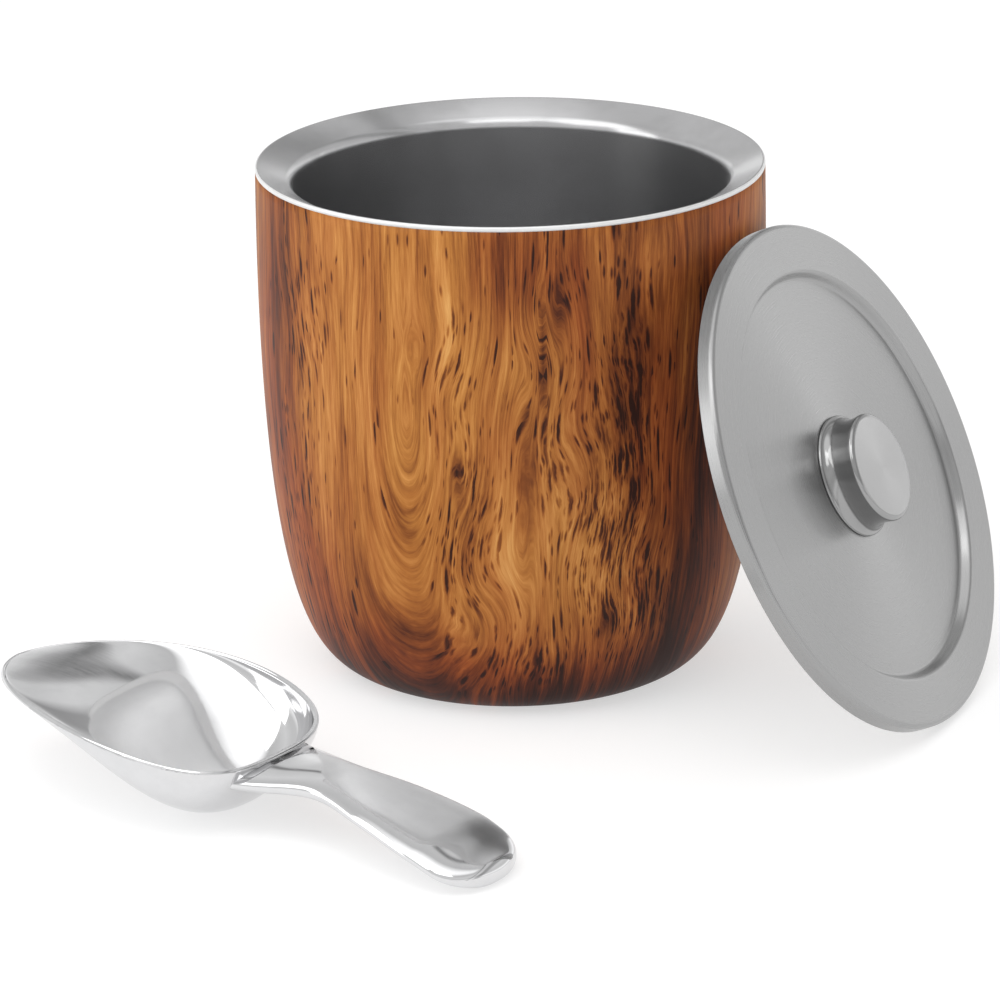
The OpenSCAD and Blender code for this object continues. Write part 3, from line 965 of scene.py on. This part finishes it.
def handle_mesh(stations=150, around=72):
    loops = []
    for j in range(1, stations + 1):
        x = ROOT_AT * (j / stations) ** 1.6
        half = along_keys(x, 0) * rounded_end(x, TIP_LENGTH)
        tall = HANDLE_THICK / 2 * rounded_end(x, TIP_ROUND)
        mid = along_keys(x, 1)
        lean = (x / ROOT_AT) ** 6
        loop = []
        for i in range(around):
            a = 2 * math.pi * i / around
            y = half * powered(math.cos(a), 2 / SQUARENESS)
            z = tall * powered(math.sin(a), 2 / SQUARENESS)
            loop.append(Vector((x + lean * (ROOT_CUP * y * y - ROOT_SLANT * z), y, mid + z)))
        loops.append(loop)
    points = [p for loop in loops for p in loop]
    points += [Vector((0, 0, along_keys(0, 1))), Vector((ROOT_AT, 0, along_keys(ROOT_AT, 1)))]
    faces = []
    for j in range(stations - 1):
        for i in range(around):
            n = (i + 1) % around
            faces.append((j * around + i, j * around + n, (j + 1) * around + n, (j + 1) * around + i))
    last = (stations - 1) * around
    for i in range(around):
        n = (i + 1) % around
        faces.append((len(points) - 2, n, i))
        faces.append((len(points) - 1, last + i, last + n))
    return points, faces


def make_scoop():
    place = scoop_place()
    steel = polished_steel()
    for name, node, (points, faces) in (
        ("scoop_pan", "scoop_bowl", bowl_mesh()),
        ("scoop_grip", "scoop_handle", handle_mesh()),
    ):
        placed = [place @ p for p in points]
        piece = make_piece(name, "scoop", placed, faces, steel, node, points)
        turn_outwards(piece)


# ---- Hidden CAD pieces --------------------------------------------------------------------------


def dress_hidden_pieces():
    """Materials for the CAD pieces that stay: the vacuum parts, the lid's foam and its fixings."""
    copper = plain_material("copper_foil", ("A8613C", "C07A50"), 0.3, 400.0, 1.0, 0.1 * MM)
    sheet_steel = plain_material("sheet_steel", ("8F9194", "A6A8AB"), 0.38, 600.0, 1.0)
    dressed = {
        "copper_foil": copper,
        "base_plate": sheet_steel,
        "getter_clip": sheet_steel,
        "bottom_cover": sheet_steel,
        "getter": plain_material("getter_alloy", ("3C3C3E", "4E4E50"), 0.7, 2500.0, 0.6),
        "vacuum_seal": plain_material("solder_glass", ("20302F", "33494A"), 0.15, 300.0),
        "lid_foam": plain_material("foam", ("E6E1D3", "F2EEE4"), 0.85, 800.0, 0.0, 0.3 * MM),
        "knob_washer": plain_material("zinc", ("85888B", "9DA0A3"), 0.35, 700.0, 1.0),
        "knob_screw": plain_material("zinc_screw", ("7B7E81", "94979A"), 0.33, 700.0, 1.0),
    }
    for node, material in dressed.items():
        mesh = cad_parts[node].data
        mesh.materials.clear()
        mesh.materials.append(material)


# ---- Stage, light and camera --------------------------------------------------------------------


def make_floor():
    mesh = bpy.data.meshes.new("floor")
    half = 6.0
    corners = [(-half, -half, 0), (half, -half, 0), (half, half, 0), (-half, half, 0)]
    mesh.from_pydata(corners, [], [(0, 1, 2, 3)])
    floor = bpy.data.objects.new("floor", mesh)
    bpy.context.scene.collection.objects.link(floor)
    g = Graph("floor")
    g.set(Base_Color=grey(0.5), Roughness=0.9, Specular_IOR_Level=0.1)
    g.set(Emission_Color=grey(1), Emission_Strength=0.56)
    mesh.materials.append(g.material)


def area_light(name, at, aim, size, power):
    """A rectangular soft box of the given width and height, turned towards aim."""
    light = bpy.data.lights.new(name, "AREA")
    light.shape = "RECTANGLE"
    light.size, light.size_y = size
    light.energy = power
    lamp = bpy.data.objects.new(name, light)
    lamp.location = at
    direction = Vector(aim) - Vector(at)
    lamp.rotation_euler = direction.to_track_quat("-Z", "Y").to_euler()
    bpy.context.scene.collection.objects.link(lamp)


def make_lights():
    middle = (0, 0, 0.08)
    area_light("key", (-0.9, -0.5, 1.5), middle, (1.2, 1.2), 6.8)
    area_light("left_box", (-1.3, -0.35, 0.45), middle, (0.6, 0.8), 2.6)
    # A narrow strip for the bright bar in the lid's step
    area_light("lid_strip", (1.25, 0.75, 0.3), (0.12, -0.06, 0.07), (0.06, 0.7), 0.12)
    area_light("front_box", (0.1, -0.75, 1.5), (0, 0, 0.12), (0.7, 0.7), 2.4)


# Brightness of the studio by how far up a direction points, from level to overhead
SKY = ((0.0, 0.58), (0.15, 0.86), (0.3, 0.50), (0.42, 0.50), (0.6, 0.58), (0.89, 0.45), (0.955, 1.0))
# The dark gaps between its soft boxes, by how far a direction points along GAP_AXIS
GAP_AXIS = (0.82, 0.41, -0.39)
GAPS = (
    (0.0, 1.0),
    (0.11, 1.0),
    (0.145, 0.25),
    (0.17, 1.0),
    (0.26, 1.0),
    (0.34, 0.5),
    (0.44, 0.55),
    (0.52, 1.0),
)
STUDIO_STRENGTH = 1.5


def make_world():
    """A white studio: bright overhead, with grey bands for polished metal to reflect."""
    world = bpy.data.worlds.new("studio")
    bpy.context.scene.world = world
    world.use_nodes = True
    tree = world.node_tree
    tree.nodes.clear()
    coords = tree.nodes.new("ShaderNodeTexCoord")
    split = tree.nodes.new("ShaderNodeSeparateXYZ")
    sky = tree.nodes.new("ShaderNodeValToRGB")
    lean = tree.nodes.new("ShaderNodeVectorMath")
    gaps = tree.nodes.new("ShaderNodeValToRGB")
    both = tree.nodes.new("ShaderNodeMix")
    back = tree.nodes.new("ShaderNodeBackground")
    out = tree.nodes.new("ShaderNodeOutputWorld")
    fill_ramp(sky, [(place, grey(level)) for place, level in SKY])
    fill_ramp(gaps, [(place, grey(level)) for place, level in GAPS])
    lean.operation = "DOT_PRODUCT"
    lean.inputs[1].default_value = GAP_AXIS
    both.data_type = "RGBA"
    both.blend_type = "MULTIPLY"
    both.inputs["Factor"].default_value = 1.0
    back.inputs["Strength"].default_value = STUDIO_STRENGTH
    for start, end in (
        (coords.outputs["Generated"], split.inputs[0]),
        (coords.outputs["Generated"], lean.inputs[0]),
        (split.outputs["Z"], sky.inputs[0]),
        (lean.outputs["Value"], gaps.inputs[0]),
        (sky.outputs[0], both.inputs[6]),
        (gaps.outputs[0], both.inputs[7]),
        (both.outputs[2], back.inputs["Color"]),
        (back.outputs[0], out.inputs[0]),
    ):
        tree.links.new(start, end)


CAMERA_PITCH = 18.1
CAMERA_DISTANCE = 1.4
CAMERA_PIVOT = Vector((0, 0, 0.080))
CAMERA_AIM = Vector((-0.0048, -0.0089, 0.0529))
CAMERA_ROLL = -0.91
CAMERA_LENS = 157.5


def make_camera():
    data = bpy.data.cameras.new("camera")
    data.lens = CAMERA_LENS
    data.sensor_width = 36
    camera = bpy.data.objects.new("camera", data)
    pitch = math.radians(CAMERA_PITCH)
    camera.location = CAMERA_PIVOT - CAMERA_DISTANCE * Vector((0, math.cos(pitch), -math.sin(pitch)))
    aim = (CAMERA_AIM - camera.location).to_track_quat("-Z", "Y").to_matrix()
    roll = Matrix.Rotation(math.radians(CAMERA_ROLL), 3, "Z")
    camera.rotation_euler = (aim @ roll).to_euler()
    bpy.context.scene.collection.objects.link(camera)
    bpy.context.scene.camera = camera


def main():
    make_camera()
    make_floor()
    make_world()
    make_lights()
    bpy.context.scene.view_settings.view_transform = "Standard"
    make_bucket()
    make_lid()
    make_scoop()
    dress_hidden_pieces()


main()
